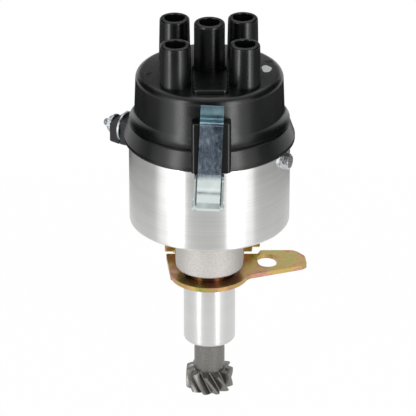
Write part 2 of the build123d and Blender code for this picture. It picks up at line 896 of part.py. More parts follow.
def make_breaker_spring():
    """Leaf spring inside the arm's channel, bowed out to the terminal stud's head."""
    start = (arm_flange_start_x / 2, arm_web_y + arm_web_t + leaf_t / 2)
    held_r = stud_start - leaf_t / 2 - loose_gap
    out = facing(terminal_deg, 0)
    hooks = [out.from_local_coords((side, 0, held_r)) for side in (leaf_pad_from, leaf_pad_to)]
    path = FilletPolyline(
        start,
        (leaf_free_x, start[1] + leaf_rise),
        (leaf_bow_x, leaf_bow_y),
        (hooks[0].X, hooks[0].Y),
        (hooks[1].X, hooks[1].Y),
        radius=leaf_bends,
    )
    return Pos(0, 0, arm_z) * ribbon(path, leaf_t, leaf_height, (0, 0, 1))


def make_condenser():
    """Sealed can with a rolled edge at each end, lying along X."""
    half = condenser_length / 2
    can = turned(
        (0, -half),
        (condenser_r - 2 * roll_step, -half),
        (condenser_r - roll_step, -half + roll_depth - roll_step),
        (condenser_r, -half + roll_depth),
        (condenser_r, half - roll_depth),
        (condenser_r - roll_step, half - roll_depth + roll_step),
        (condenser_r - 2 * roll_step, half),
        (0, half),
    )
    return Pos(0, condenser_y, condenser_z) * Rot(0, 90, 0) * can


def make_condenser_strap():
    """Saddle strap over the condenser, screwed down beside it."""
    middle_r = condenser_r + strap_t / 2
    near = condenser_y - middle_r
    far = condenser_y + middle_r
    low = breaker_z + strap_t / 2
    rise = FilletPolyline((near - strap_foot, low), (near, low), (near, condenser_z), radius=strap_t)
    over = ThreePointArc((near, condenser_z), (condenser_y, condenser_z + middle_r), (far, condenser_z))
    drop = Line((far, condenser_z), (far, breaker_z))
    side = Plane(origin=(0, 0, 0), x_dir=(0, 1, 0), z_dir=(1, 0, 0))
    band = ribbon(side * Wire([*rise.edges(), over.edge(), drop.edge()]), strap_t, strap_width, (1, 0, 0))
    return band - Pos(0, strap_screw_y(), 0) * rod(bracket_screw_r, breaker_z, breaker_z + strap_t)


def strap_screw_y():
    """Place of the condenser strap's screw, in the middle of its foot."""
    return condenser_y - condenser_r - strap_t - strap_foot / 2


def make_condenser_lead():
    """Insulated lead from the condenser's end round the wall to the terminal stud's head."""
    out = facing(terminal_deg, 0)
    level = stud_start + stud_head_t - lead_r - loose_gap
    end = out.from_local_coords((stud_head_hex / 2, 0, level))
    ahead = out.from_local_coords((stud_head_hex / 2 + lead_approach, 0, level))
    start_x = -condenser_length / 2
    path = FilletPolyline(
        (start_x, condenser_y),
        (start_x - lead_straight, condenser_y),
        *lead_turns,
        (ahead.X, ahead.Y),
        (end.X, end.Y),
        radius=lead_bends,
    )
    return Pos(0, 0, condenser_z) * wire(path, lead_r)


def make_terminal_stud():
    """Terminal stud with a hexagon head inside the cup."""
    stud = Pos(0, 0, stud_start + stud_head_t) * Rot(180, 0, 30) * hex_bar(stud_head_hex, 0, stud_head_t)
    thread_end = block_end + end_washer_t + terminal_nut_t
    shank = rod(stud_end_r, thread_end, stud_tip)
    shank = chamfer(shank.edges().sort_by(Axis.Z)[-1], stud_r / 4)
    shank += rod(stud_r, stud_start + stud_head_t, thread_end)
    return facing(terminal_deg, terminal_z) * (stud + shank)


def make_terminal_insulators():
    """Flanged bush inside the wall, and the two moulded blocks outside it."""
    head_end = stud_start + stud_head_t
    flange_end = sqrt(cup_inner_r**2 - inner_bush_r**2) - loose_gap
    bush_end = sqrt(cup_r**2 - wall_bush_r**2)
    bush = rod(inner_bush_r, head_end, flange_end)
    bush += rod(wall_bush_r, flange_end, bush_end)
    bush -= rod(stud_r, head_end, bush_end)
    height = block_top_rise + block_bottom_drop
    middle = (block_top_rise - block_bottom_drop) / 2
    inner = Pos(0, middle) * RectangleRounded(inner_block_width, height, block_corner)
    inner = Pos(0, 0, cup_r - block_sink) * extrude(inner, block_split - cup_r + block_sink)
    inner -= rod(stud_r, cup_r - block_sink, block_split)
    inner = facing(terminal_deg, terminal_z) * inner
    inner -= rod(cup_r, cup_bottom_z, cup_rim_z + cap_overhang)
    inner -= rod(cap_skirt_r + seat_gap, cap_bottom_z - seat_gap, cap_skirt_z + height)
    start = block_split + lead_washer_t
    profile = outline(
        (start, -block_bottom_drop),
        (block_end, -block_bottom_drop + block_draft, block_edge_round),
        (block_end, block_top_rise - block_chamfer),
        (block_end - block_chamfer, block_top_rise),
        (start, block_top_rise),
    )
    lying = Plane(origin=(0, 0, 0), x_dir=(0, 0, 1), z_dir=(-1, 0, 0))
    outer = extrude(lying * profile, outer_block_width / 2, both=True)
    outer -= rod(stud_r, start, block_end)
    return facing(terminal_deg, terminal_z) * bush, inner, facing(terminal_deg, terminal_z) * outer


def make_terminal_washers():
    """Large washer between the blocks and small washer under the nut."""
    large = ring(lead_washer_r, stud_r, block_split, block_split + lead_washer_t)
    small = ring(end_washer_r, stud_r, block_end, block_end + end_washer_t)
    return facing(terminal_deg, terminal_z) * Compound(children=[large, small])


def make_terminal_nut():
    """Hexagon nut on the terminal stud."""
    low = block_end + end_washer_t
    nut = hex_bar(terminal_nut_hex, low, low + terminal_nut_t) - rod(stud_r, low, low + terminal_nut_t)
    return facing(terminal_deg, terminal_z) * nut


def tower(foot_r, head_r, top_z, bore_floor_z):
    """One cable tower, tapered, with a rounded lip and a blind bore."""
    return turned(
        (0, cap_inner_top_z),
        (foot_r, cap_inner_top_z),
        (head_r, top_z, tower_lip_round),
        (tower_bore_r, top_z, tower_mouth_round),
        (tower_bore_r, bore_floor_z),
        (0, bore_floor_z),
    )


def tower_bore(bore_floor_z, top_z):
    """Space inside a tower."""
    return rod(tower_bore_r, bore_floor_z, top_z)


def make_distributor_cap():
    """Moulded cap: domed shell with a flared skirt, two clip lugs, a pad, and five towers."""
    roof_r = cap_body_r - cap_shoulder_round
    dome_rise = cap_top_z - cap_top_edge_z
    dome_r = (roof_r**2 + dome_rise**2) / (2 * dome_rise)
    shell = make_face(
        [
            Line((0, cap_bottom_z), (cap_skirt_r - cap_skirt_round, cap_bottom_z)),
            RadiusArc(
                (cap_skirt_r - cap_skirt_round, cap_bottom_z),
                (cap_skirt_r, cap_bottom_z + cap_skirt_round),
                -cap_skirt_round,
            ),
            Line((cap_skirt_r, cap_bottom_z + cap_skirt_round), (cap_skirt_r, cap_skirt_z)),
            Line((cap_skirt_r, cap_skirt_z), (cap_band_top_r, cap_band_top_z)),
            Line((cap_band_top_r, cap_band_top_z), (cap_groove_r, cap_groove_z)),
            Line((cap_groove_r, cap_groove_z), (cap_lip_r, cap_lip_z)),
            ThreePointArc(
                (cap_lip_r, cap_lip_z),
                (
                    (cap_lip_r + cap_draft_r) / 2 - cap_flare_bow,
                    (cap_lip_z + cap_flare_top_z) / 2 - cap_flare_bow,
                ),
                (cap_draft_r, cap_flare_top_z),
            ),
            Line((cap_draft_r, cap_flare_top_z), (cap_body_r, cap_top_edge_z - cap_shoulder_round)),
            RadiusArc(
                (cap_body_r, cap_top_edge_z - cap_shoulder_round),
                (roof_r, cap_top_edge_z),
                -cap_shoulder_round,
            ),
            RadiusArc((roof_r, cap_top_edge_z), (0, cap_top_z), -dome_r),
            Line((0, cap_top_z), (0, cap_bottom_z)),
        ]
    )
    cap = revolve(Plane.XZ * shell, Axis.Z)
    for shape in both_sides(clip_lug()):
        cap += shape
    cap += moulded_pad()
    cap += tower(centre_tower_r, centre_tower_r, centre_tower_top_z, centre_bore_floor_z)
    cap += rod(centre_collar_r, cap_inner_top_z, centre_collar_z)
    cap -= turned(
        (0, cap_bottom_z),
        (cup_r + seat_gap, cap_bottom_z),
        (cup_r + seat_gap, cup_rim_z),
        (cap_inner_r, cup_rim_z),
        (cap_inner_r - cap_inner_draft, cap_inner_top_z, cap_inner_round),
        (0, cap_inner_top_z),
    )
    spigot_r = cup_inner_r - spigot_gap
    cap += ring(spigot_r, spigot_r - spigot_t, cup_rim_z - spigot_depth, cup_rim_z + merge)
    for number in range(4):
        place = Rot(0, 0, 45 + 90 * number) * Pos(tower_pitch_r, 0, 0)
        cap += place * tower(tower_foot_r, tower_head_r, tower_top_z, tower_bore_floor_z)
        cap += place * rod(electrode_boss_r, electrode_boss_z, cap_inner_top_z + merge)
        cap -= place * rod(insert_r, electrode_boss_z, tower_bore_floor_z)
    cap += rod(brush_boss_r, brush_boss_z, cap_inner_top_z + merge)
    cap -= rod(brush_r + loose_gap, brush_boss_z, brush_bore_top_z)
    cap -= rod(insert_r, brush_bore_top_z, centre_bore_floor_z)
    cap -= tower_bore(centre_bore_floor_z, centre_tower_top_z)
    return Rot(0, 0, cap_yaw_deg) * cap


def clip_lug():
    """Upright lug on the cap's side, with rounded corners and a flat top for the clip's hook."""
    face = outline(
        (-lug_half_width, -cap_inner_r),
        (-lug_half_width, -lug_front, lug_corner_round),
        (lug_half_width, -lug_front, lug_corner_round),
        (lug_half_width, -cap_inner_r),
    )
    lug = Pos(0, 0, cap_bottom_z) * extrude(face, lug_top_z - cap_bottom_z)
    rim = lug.edges().group_by(Axis.Z)[-1].sort_by(Axis.Y)[:-1]
    return fillet(rim, lug_top_round)


def moulded_pad():
    """Low pad with round corners in front of the centre tower."""
    face = outline(
        (-pad_half_width, 0),
        (-pad_half_width, -pad_front, pad_corner_round),
        (pad_half_width, -pad_front, pad_corner_round),
        (pad_half_width, 0),
    )
    pad = Pos(0, 0, cap_inner_top_z) * extrude(face, pad_top_z - cap_inner_top_z)
    rim = pad.edges().group_by(Axis.Z)[-1].sort_by(Axis.Y)[:-1]
    return fillet(rim, pad_edge_round)


def make_tower_inserts():
    """Metal inserts of the outer towers, each a contact above and an electrode below."""
    insert = rod(insert_r, electrode_end_z, tower_bore_floor_z - insert_drop)
    turns = [45 + 90 * number + cap_yaw_deg for number in range(4)]
    return Compound(children=[Rot(0, 0, turn) * Pos(tower_pitch_r, 0, 0) * insert for turn in turns])


def make_centre_insert():
    """Metal insert of the centre tower."""
    return rod(insert_r, brush_bore_top_z, centre_bore_floor_z - insert_drop)


def make_carbon_brush():
    """Carbon brush that slides in the centre boss and rests on the rotor's spring."""
    brush = rod(brush_r, brush_bottom_z, brush_bottom_z + brush_length)
    return fillet(brush.edges().sort_by(Axis.Z)[0], brush_r / 3)


def make_brush_spring():
    """Coil spring above the brush."""
    low = brush_bottom_z + brush_length + side_play
    spring = coil(brush_spring_r, brush_wire_r, brush_spring_turns, brush_bore_top_z - side_play - low)
    return Pos(0, 0, low) * spring


def make_rotor():
    """Moulded rotor: a keyed collar on the cam's neck and an arm that carries the blade."""
    collar = rod(rotor_collar_r, rotor_bottom_z, blade_z)
    reach = Rectangle(blade_tip_r - 2 * blade_overhang, rotor_arm_width)
    face = Circle(rotor_collar_r + rotor_rim) + Pos(blade_tip_r / 2, 0) * reach
    arm = Pos(0, 0, rotor_arm_z) * extrude(face, rotor_arm_t)
    bore = rod(rotor_neck_r + rotor_gap, rotor_bottom_z, rotor_neck_top_z + rotor_gap)
    key = Pos(neck_key_flat + rotor_gap, 0, rotor_bottom_z) * Box(
        rotor_neck_r,
        3 * rotor_neck_r,
        rotor_neck_top_z + rotor_gap - rotor_bottom_z,
        align=(Align.MIN, Align.CENTER, Align.MIN),
    )
    return collar + Rot(0, 0, rotor_deg) * arm - (bore - key)


def make_rotor_blade():
    """Brass blade on the rotor, with the bent spring that meets the brush."""
    length = blade_tip_r + blade_spring_foot
    blade = Pos((blade_tip_r - blade_spring_foot) / 2, 0, blade_z) * extrude(
        RectangleRounded(length, blade_width, blade_corner), blade_t
    )
    foot_x = blade_spring_inset - blade_spring_foot
    foot_z = blade_z + blade_t + blade_spring_t / 2
    path = FilletPolyline(
        (foot_x, 0, foot_z),
        (foot_x + blade_spring_seat, 0, foot_z),
        (-brush_r, 0, foot_z + blade_spring_rise),
        (brush_r, 0, foot_z + blade_spring_rise),
        radius=blade_spring_bend_r,
    )
    spring = ribbon(path, blade_spring_t, blade_width - 2 * blade_spring_inset, (0, 1, 0))
    return Rot(0, 0, rotor_deg) * (blade + spring)


def clip_path():
    """Centre line of the clip's strip, in the plane of its radius and height."""
    eye_r = clip_pin_r + clip_pin_gap + strip_t / 2
    middle = (pin_reach, pin_z)
    eye = CenterArc(middle, eye_r, 360 - eye_wrap_deg, eye_wrap_deg)
    hook_r = clip_strip_r - clip_hook_depth
    rise = FilletPolyline(
        (pin_reach + eye_r, pin_z),
        (pin_reach + eye_r, pin_z + clip_eye_rise),
        (clip_bulge_r, clip_bulge_z),
        (clip_strip_r, clip_kink_z),
        (clip_strip_r, hook_z),
        (hook_r, hook_z),
        (hook_r + clip_tab_lean, clip_tab_top_z),
        radius=(clip_low_bend_r, clip_bulge_bend_r, clip_kink_bend_r, clip_bend_r, clip_bend_r),
    )
    return Wire([*eye.edges(), *rise.edges()])


def stand_at_front(shape):
    """Leans a front clip piece about its pin and turns it with its bracket."""
    lean = Pos(0, 0, pin_z) * Rot(0, clip_lean_deg, 0) * Pos(0, 0, -pin_z)
    return Rot(0, 0, bracket_yaw_deg) * lean * shape


def make_clip():
    """Spring strip of the front clip, rolled round its pin below and hooked over the cap above."""
    side = Plane(origin=(0, 0, 0), x_dir=(0, -1, 0), z_dir=(-1, 0, 0))
    path = side * clip_path()
    return ribbon(path, strip_t, strip_width, (1, 0, 0))


def cheek_centre():
    """Distance of a cheek's middle from the middle of the strip."""
    return strip_width / 2 + cheek_gap + cheek_t / 2


def make_clip_bracket():
    """Folded bracket of the front clip: a back plate on the cup and two cheeks for the pin."""
    side = Plane(origin=(0, 0, 0), x_dir=(0, -1, 0), z_dir=(-1, 0, 0))
    cheek = outline(
        (cup_r - cup_wall, cheek_low_z),
        (cheek_front, cheek_low_z, cheek_round),
        (cheek_front, cheek_high_z, cheek_round),
        (cup_r - cup_wall, cheek_high_z),
    )
    cheek -= Pos(pin_reach, pin_z) * Circle(clip_pin_r)
    plate = extrude(side * cheek, cheek_t / 2, both=True)
    half = cheek_centre() + cheek_t / 2
    back = ring(cup_r + cheek_t, cup_r, back_low_z, cheek_high_z)
    back &= Pos(0, -cup_r, back_low_z) * Box(2 * half, cup_r, cheek_high_z - back_low_z, align=BASE)
    bracket = back + Pos(cheek_centre(), 0, 0) * plate + Pos(-cheek_centre(), 0, 0) * plate
    return bracket


def finish_bracket(bracket):
    """Cuts a leaned bracket back to the cup's wall and drills it for its rivets."""
    bracket -= rod(cup_r, 0, cup_rim_z)
    return bracket - rivet_bores()


def make_clip_pin():
    """Headed pin of the front clip."""
    half = cheek_centre() + cheek_t / 2
    pin = rod(clip_pin_r, -half, half)
    for low in (-half - pin_head_t, half):
        pin += rod(pin_head_r, low, low + pin_head_t)
    return Pos(0, -pin_reach, pin_z) * Rot(0, 90, 0) * pin


def make_clip_rivets():
    """Rivets that hold the front bracket to the cup, headed outside and inside."""
    rivets = []
    for height in rivet_heights:
        rivet = rod(rivet_r, cup_inner_r, cup_r + cheek_t)
        rivet += rod(rivet_head_r, cup_r + cheek_t, cup_r + cheek_t + rivet_head_t)
        inner_end = sqrt(cup_inner_r**2 - rivet_inner_head_r**2)
        rivet += rod(rivet_inner_head_r, inner_end - rivet_head_t, inner_end)
        rivet += rod(rivet_r, inner_end, cup_inner_r)
        rivets.append(Rot(0, 0, bracket_yaw_deg) * (facing(-90, height) * rivet))
    return rivets


def make_clamp_plate():
    """U-shaped clamp with a slotted arm and two upturned ears."""
    ear_outer_x = ear_inner_x + ear_plate_t
    face = Circle(clamp_ring_r)
    face += outline(
        *clamp_foot_corners,
        (clamp_foot_end_x, leg_end_y, clamp_foot_end_round),
        (-ear_inner_x, leg_end_y),
        (-ear_inner_x, -clamp_ring_r / 2),
    )
    face += outline(
        polar(clamp_ring_r, clamp_arm_start_deg),
        *clamp_arm_corners,
        (clamp_arm_back_x, leg_end_y, clamp_arm_back_round),
        (ear_inner_x, leg_end_y),
        (clamp_ring_r / 2, 0),
    )
    face -= Circle(clamp_bore_r)
    face -= Pos(0, clamp_ring_r) * Rectangle(2 * clamp_split, 2 * clamp_ring_r)
    slot = Rot(0, 0, slot_tilt_deg) * SlotOverall(slot_length, slot_width)
    face -= Pos(slot_x, slot_y) * slot
    plate = extrude(face, clamp_t)
    plate -= Cone(clamp_bore_r + clamp_edge, clamp_bore_r, clamp_edge, align=BASE)
    side = outline(
        (ear_front_y, 0),
        (ear_back_y, 0, clamp_ear_round),
        (ear_back_y, clamp_ear_top_z, clamp_ear_round),
        (leg_end_y, clamp_ear_top_z, clamp_ear_round),
        (ear_front_y, clamp_t),
    )
    side -= Pos(clamp_bolt_y, clamp_bolt_z) * Circle(clamp_bolt_r + bolt_hole_gap)
    upright = Plane(origin=(0, 0, 0), x_dir=(0, 1, 0), z_dir=(1, 0, 0))
    ear = extrude(upright * side, ear_plate_t)
    return plate + Pos(ear_inner_x, 0, 0) * ear + Pos(-ear_outer_x, 0, 0) * ear


def make_clamp_bolt():
    """Hexagon bolt across both ears, with its washer, head at the left."""
    ear_outer_x = ear_inner_x + ear_plate_t
    head_low = -ear_outer_x - clamp_washer_t - clamp_bolt_head_t
    bolt = rod(clamp_bolt_r, -ear_outer_x - clamp_washer_t, clamp_bolt_end_x)
    bolt = chamfer(bolt.edges().sort_by(Axis.Z)[-1], clamp_bolt_r / 5)
    head = hex_bar(clamp_bolt_hex, 0, clamp_bolt_head_t)
    head = Pos(0, 0, head_low + clamp_bolt_head_t) * Rot(180, 0, 0) * head
    washer = ring(clamp_washer_r, clamp_bolt_r, -ear_outer_x - clamp_washer_t, -ear_outer_x)
    lay = Pos(0, clamp_bolt_y, clamp_bolt_z) * Rot(0, 90, 0)
    return lay * (bolt + head), lay * washer


def make_clamp_nut():
    """Hexagon nut at the right ear."""
    low = ear_inner_x + ear_plate_t
    nut = hex_bar(clamp_bolt_hex, low, low + clamp_nut_t) - rod(clamp_bolt_r, low, low + clamp_nut_t)
    return Pos(0, clamp_bolt_y, clamp_bolt_z) * Rot(0, 90, 0) * nut


def build_nodes():
    """Every sub-part by name."""
    upper_bush, lower_bush = make_bushes()
    bush, inner_block, outer_block = make_terminal_insulators()
    clamp_bolt, clamp_washer = make_clamp_bolt()
    clips = both_sides(stand_at_front(make_clip()))
    brackets = both_sides(finish_bracket(stand_at_front(make_clip_bracket())))
    pins = both_sides(stand_at_front(make_clip_pin()))
    rivets = [piece for rivet in make_clip_rivets() for piece in both_sides(rivet)]
    weight = make_weight()
    return {
        "housing": make_housing(),
        "upper_bush": upper_bush,
        "lower_bush": lower_bush,
        "thrust_washers": make_thrust_washers(),
        "drive_shaft": make_drive_shaft(),
        "drive_gear": make_drive_gear(),
        "gear_roll_pin": make_gear_roll_pin(),
        "weight_plate": make_weight_plate(),
        "weight_pivot_pins": make_weight_pivot_pins(),
        "weight_clips": make_weight_clips(),
        "weight_a": weight,
        "weight_b": Rot(0, 0, 180) * weight,
        "advance_springs": make_advance_springs(),
        "cam_plate": make_cam_plate(),
        "breaker_cam": make_breaker_cam(),
        "cam_retaining_clip": make_cam_retaining_clip(),
        "cam_felt": make_cam_felt(),
        "breaker_plate": make_breaker_plate(),
        "side_screws": make_side_screws(),
        "contact_bracket": make_contact_bracket(),
        "plate_screws": make_plate_screws(),
        "fixed_contact": contact_disc(bracket_face_y()),
        "arm_contact": contact_disc(arm_web_y - contact_t),
        "pivot_post": make_pivot_post(),
        "arm_clip": make_arm_clip(),
        "breaker_arm": make_breaker_arm(),
        "rubbing_block": make_rubbing_block(),
        "breaker_spring": make_breaker_spring(),
        "condenser": make_condenser(),
        "condenser_strap": make_condenser_strap(),
        "condenser_lead": make_condenser_lead(),
        "terminal_stud": make_terminal_stud(),
        "terminal_bush": bush,
        "terminal_inner_block": inner_block,
        "terminal_outer_block": outer_block,
        "terminal_washers": make_terminal_washers(),
        "terminal_nut": make_terminal_nut(),
        "distributor_cap": make_distributor_cap(),
        "tower_inserts": make_tower_inserts(),
        "centre_insert": make_centre_insert(),
        "carbon_brush": make_carbon_brush(),
        "brush_spring": make_brush_spring(),
        "rotor": make_rotor(),
        "rotor_blade": make_rotor_blade(),
        "front_clip": clips[0],
        "rear_clip": clips[1],
        "front_clip_bracket": brackets[0],
        "rear_clip_bracket": brackets[1],
        "front_clip_pin": pins[0],
        "rear_clip_pin": pins[1],
        "clip_rivets": Compound(children=rivets),
        "clamp_plate": make_clamp_plate(),
        "clamp_bolt": clamp_bolt,
        "clamp_washer": clamp_washer,
        "clamp_nut": make_clamp_nut(),
    }


def main():
    """Writes one STEP file for each sub-part."""
    os.makedirs("parts", exist_ok=True)
    for name, shape in build_nodes().items():
        export_step(shape, f"parts/{name}.step")


main()
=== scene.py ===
import math

import bpy
import numpy as np
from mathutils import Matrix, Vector


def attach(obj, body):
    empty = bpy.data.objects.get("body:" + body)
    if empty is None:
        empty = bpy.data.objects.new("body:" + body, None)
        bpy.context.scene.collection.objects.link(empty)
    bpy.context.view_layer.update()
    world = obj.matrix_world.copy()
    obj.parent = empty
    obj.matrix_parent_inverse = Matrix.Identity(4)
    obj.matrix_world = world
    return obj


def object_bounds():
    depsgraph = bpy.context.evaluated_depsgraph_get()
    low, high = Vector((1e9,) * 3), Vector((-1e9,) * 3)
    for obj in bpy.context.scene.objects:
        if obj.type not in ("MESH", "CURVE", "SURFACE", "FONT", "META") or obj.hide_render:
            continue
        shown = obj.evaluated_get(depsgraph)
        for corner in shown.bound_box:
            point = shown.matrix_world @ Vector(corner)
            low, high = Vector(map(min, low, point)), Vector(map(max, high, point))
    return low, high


# The looks of an ignition distributor: a finish for every CAD piece, two screw threads, the marks
# on the cap's roof, and a plain studio. The frame is the CAD model's, in metres, with z = 0 at the
# clamp's underside and -Y towards the camera. MM turns millimetres into metres.

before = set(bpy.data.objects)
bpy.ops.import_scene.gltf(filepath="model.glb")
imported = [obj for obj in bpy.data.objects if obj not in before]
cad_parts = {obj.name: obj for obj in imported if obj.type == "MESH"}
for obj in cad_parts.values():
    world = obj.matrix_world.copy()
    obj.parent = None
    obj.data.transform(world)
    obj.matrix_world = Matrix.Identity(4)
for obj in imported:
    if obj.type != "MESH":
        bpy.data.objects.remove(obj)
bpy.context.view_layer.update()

MM = 0.001
WHITE = (1, 1, 1, 1)

# Heights where the housing's finish changes, each as the start and end of a soft step.
PILOT_TOP = (-0.2 * MM, 0.2 * MM)
# Between these two steps the housing gets painted shade in dark brown, in the gap between the clamp
# and the neck's foot.
PAINTED_SHADE_FOOT, PAINTED_SHADE_TOP = (0.2 * MM, 0.6 * MM), (5.5 * MM, 5.9 * MM)
NECK_FOOT, NECK_TOP = (5.8 * MM, 6.8 * MM), (33.6 * MM, 35.2 * MM)

# Heights on the clips: their zinc from hinge to tab, and the ends of the flat strip between.
ZINC_SPAN = (56 * MM, 119 * MM)
STRIP_FOOT, STRIP_TOP = (80 * MM, 81 * MM), (110 * MM, 111 * MM)

# Distance from the upright axis over which the painted shade on the clamp's inner wall ends.
PAINTED_WALL_SHADE = (14.2 * MM, 14.5 * MM)

# The middle part of a noise's values, where nearly all of them lie.
MIDDLE = (0.3, 0.7)

# The terminal stud points out at this azimuth from +X. Its thread starts at the stud's outer end.
STUD_AZIMUTH = math.radians(149)
STUD_OUT = (math.cos(STUD_AZIMUTH), math.sin(STUD_AZIMUTH), 0)
STUD_REACH, STUD_HEIGHT = 62.8, 76.0

# Threads have so many rows of points to a pitch and so many points to a row, and fade out over a
# share of the pitch.
THREAD_ROWS, THREAD_SIDES, THREAD_FADE = 12, 48, 0.6

# Marks on the cap's roof in millimetres: centres, half sizes, and how far they rise. A tick also
# has its turn in radians.
DOT_CENTRE, DOT_HALF = (30.1, 1.2), (2.6, 4.6)
DOT_RINGS, DOT_SIDES = 9, 48
DOT_EDGE, DOT_RISE = 0.01, 0.07
TICKS = (("left_tick", (-32.4, -4.1), 0.4), ("right_tick", (31.6, 12.2), 0.35))
TICK_HALF, TICK_RISE = (2.2, 0.8), 0.6
TICK_ROWS, TICK_COLUMNS = 9, 17

# Rays down to the roof start this high, in metres.
ABOVE_CAP = 0.3

# The floor is a round table top just under the gear. The camera sees this share of it as pure
# white, and the rest keeps the object's shadow. The room's light is dim beside the lamps.
FLOOR_RADIUS, FLOOR_GAP, FLOOR_SIDES = 300 * MM, 0.2 * MM, 96
FLOOR_WHITE = 0.99
ROOM_LIGHT = 0.3

# Cards round the table: name, azimuths in degrees from the front towards the right, radius and
# heights in millimetres, colour. The velvet is nearly black, and the roof card is grey.
CARDS = (
    ("front_velvet", (-36, 27), 1000, (-900, -150), "#161616"),
    ("back_velvet", (64, 282), 1000, (-900, -200), "#161616"),
    ("upper_front_velvet", (-36, 27), 520, (230, 900), "#161616"),
    ("upper_right_velvet", (66, 140), 520, (100, 600), "#161616"),
    ("upper_left_velvet", (-140, -80), 520, (100, 600), "#161616"),
    ("roof_card", (140, 220), 250, (185, 320), "#747474"),
)
CARD_POINTS = 41

# Lamps aimed at the middle of the cup: name, azimuth as for the cards, elevation, distance, width
# and height, power in watts. The boxes are tall and narrow, so that the turned metal shows bright
# bands. The wide, dim wings soften the bands' outer sides.
LAMP_AIM = (0, 0, 45 * MM)
LAMPS = (
    ("left_box", -44.5, 5, 1.3, (0.27, 1.9), 14),
    ("left_wing", -60, 5, 1.35, (0.6, 1.9), 2.2),
    ("right_box", 34.5, 5, 1.3, (0.28, 1.9), 14.5),
    ("right_wing", 51, 5, 1.35, (0.6, 1.9), 2.2),
    ("top_box", 175, 70, 1.3, (1.3, 1.0), 4),
)

# The camera, fitted to the ellipses of the cup and the cap: a long lens far off, with the picture
# shifted a little to one side.
CAMERA_ELEVATION = math.radians(25.725)
CAMERA_DISTANCE, CAMERA_AIM = 1.8392, 40.2 * MM
LENS_MM, SENSOR_MM = 295.96, 36
PICTURE_PX, SHIFT_PX = 416, -1.46
CLIP_START, CLIP_END = 0.1, 20


def linear(colour):
    """Linear RGBA of an sRGB hex colour: c / 12.92 when dark, else ((c + 0.055) / 1.055) ** 2.4."""
    parts = [int(colour[i : i + 2], 16) / 255 for i in (1, 3, 5)]
    return [c / 12.92 if c <= 0.04045 else ((c + 0.055) / 1.055) ** 2.4 for c in parts] + [1.0]


def add(tree, kind, inputs=(), stops=(), **settings):
    """Adds a node and gives its outputs. Inputs come in their order, or as a dict by name or
    number, and each is a link, a hex colour or a value. Stops are a ramp's (position, hex colour)."""
    made = tree.nodes.new("ShaderNode" + kind)
    for name, value in settings.items():
        setattr(made, name, value)
    for key, value in inputs.items() if isinstance(inputs, dict) else enumerate(inputs):
        if isinstance(value, bpy.types.NodeSocket):
            tree.links.new(value, made.inputs[key])
        else:
            made.inputs[key].default_value = linear(value) if isinstance(value, str) else value
    if stops:
        elements = made.color_ramp.elements
        while len(elements) < len(stops):
            elements.new(0.5)
        for element, (position, colour) in zip(elements, stops):
            element.position = position
            element.color = linear(colour)
    return made.outputs


def emptied(owner):
    """Node tree of a new material or world, with nothing in it."""
    owner.use_nodes = True
    owner.node_tree.nodes.clear()
    return owner.node_tree


def start_finish(name):
    """A new material: (material, its node tree, the Object coordinates)."""
    material = bpy.data.materials.new(name)
    tree = emptied(material)
    return material, tree, add(tree, "TexCoord")["Object"]


def end_finish(tree, metallic, colour, roughness, relief, depth, strength, more=()):
    """Shader and output of a finish. Its bump is a relief from 0 to 1 over depth metres."""
    bump = add(tree, "Bump", {"Height": relief, "Distance": depth, "Strength": strength})
    inputs = {"Metallic": metallic, "Base Color": colour, "Roughness": roughness}
    inputs.update(more, Normal=bump["Normal"])
    skin = add(tree, "BsdfPrincipled", inputs)
    add(tree, "OutputMaterial", {"Surface": skin["BSDF"]})


def grain(tree, place, size, stretch=(1, 1, 1), detail=2.0, roughness=0.5):
    """Noise whose features are about size metres across, drawn out along the axes by stretch."""
    scaled = add(tree, "Mapping", {"Vector": place, "Scale": [1 / s for s in stretch]})["Vector"]
    inputs = {"Vector": scaled, "Scale": 1 / size, "Detail": detail, "Roughness": roughness}
    return add(tree, "TexNoise", inputs)["Fac"]


def tinted(tree, colour, tint, value, span, shares):
    """Colour drawn towards a tint, whose share goes from the first of shares to the second as the
    value goes over its span, and is held beyond it."""
    share = add(tree, "MapRange", (value, *span, *shares))[0]
    # Inputs 6 and 7 of a colour mix are its two colours, and output 2 is the result.
    return add(tree, "Mix", {0: share, 6: colour, 7: tint}, data_type="RGBA")[2]


def within(tree, value, foot, top):
    """1 between two soft steps, else 0: rises over the span foot, and falls over the span top."""
    rising = add(tree, "MapRange", (value, *foot, 0.0, 1.0))[0]
    falling = add(tree, "MapRange", (value, *top, 1.0, 0.0))[0]
    return add(tree, "Math", (rising, falling), operation="MULTIPLY")[0]


